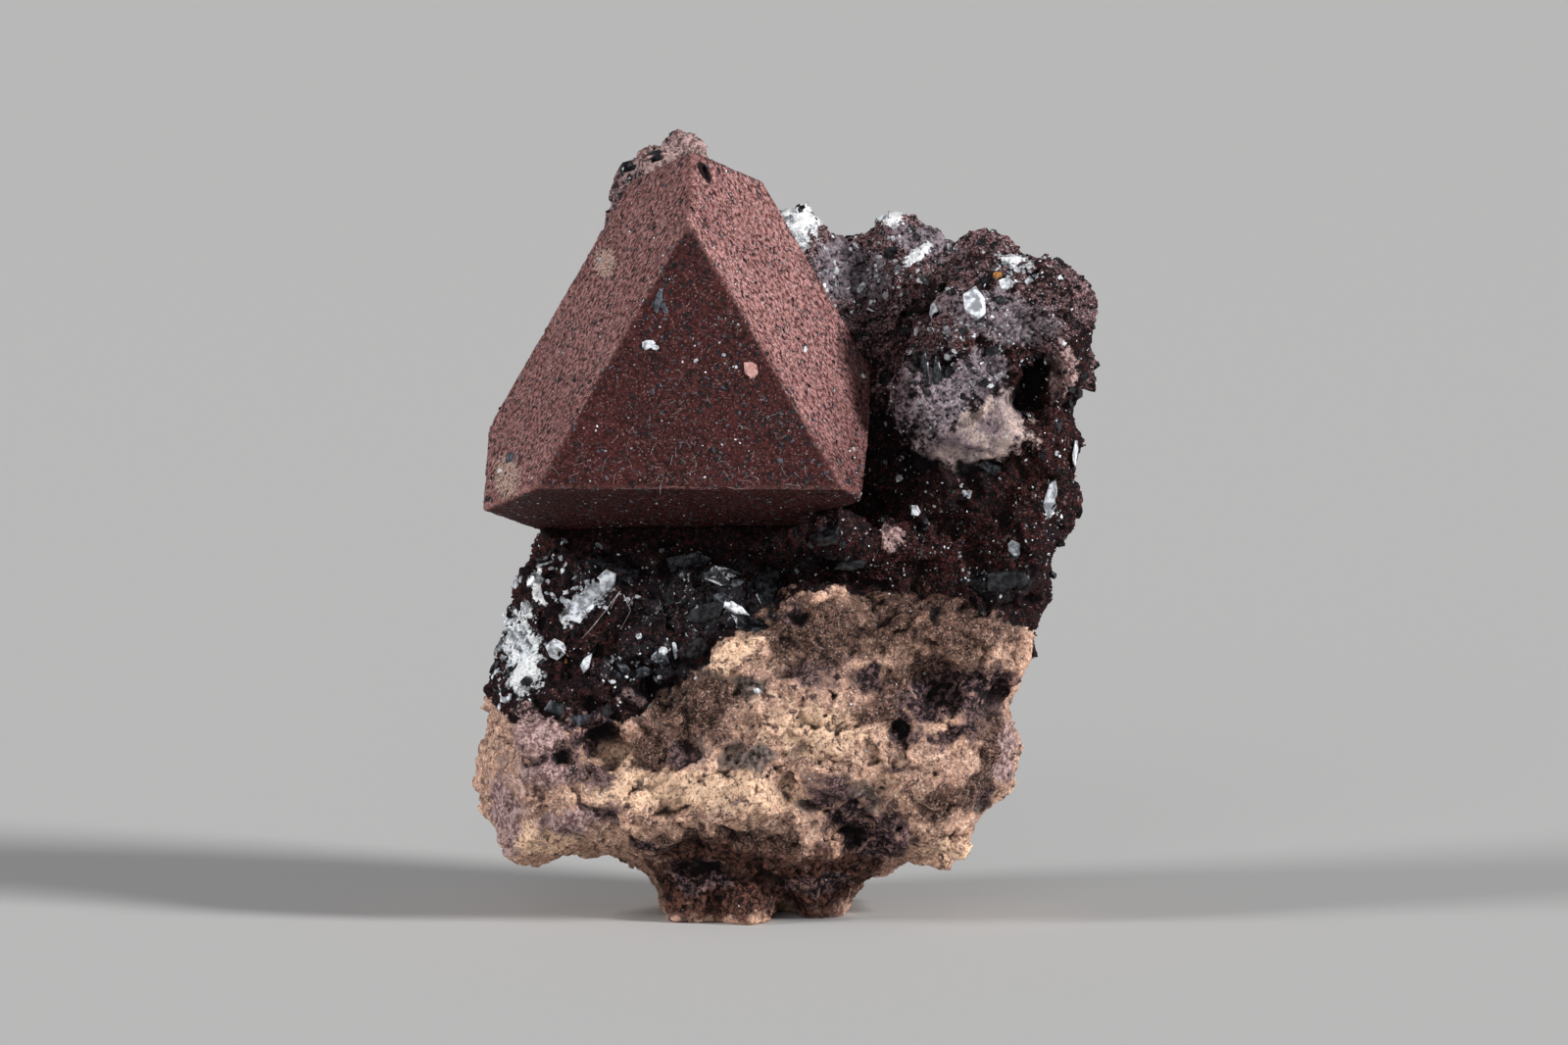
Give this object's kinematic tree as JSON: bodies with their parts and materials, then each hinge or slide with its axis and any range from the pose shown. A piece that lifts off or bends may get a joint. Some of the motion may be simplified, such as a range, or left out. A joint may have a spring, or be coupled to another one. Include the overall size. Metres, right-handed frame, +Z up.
{
  "type": "zunyite specimen",
  "caption": "Mineral specimen: a large tetrahedral zunyite crystal with cut corners, seated on a block of altered volcanic rock with hematite.",
  "frame": {"origin": "middle of the bounding box at the level of the flat foot that the specimen stands on", "axes": "+Z up the specimen, -Y towards the viewer, the way that the crystal's triangular front face looks, +X to the viewer's right"},
  "size_m": [0.0236, 0.015, 0.0297],
  "materials": {
    "altered_rock": "rough, crumbly altered volcanic rock: tan clay below, dark hematite-stained rock above",
    "zunyite": "matte brick-red crystal faces, finely granular, with dark and silvery specks",
    "hematite": "thin bright silver-grey plates of hematite grown on the rock"
  },
  "bodies": {
    "root": {"matrix_rock": "altered_rock", "zunyite_crystal": "zunyite"}
  },
  "joints": []
}
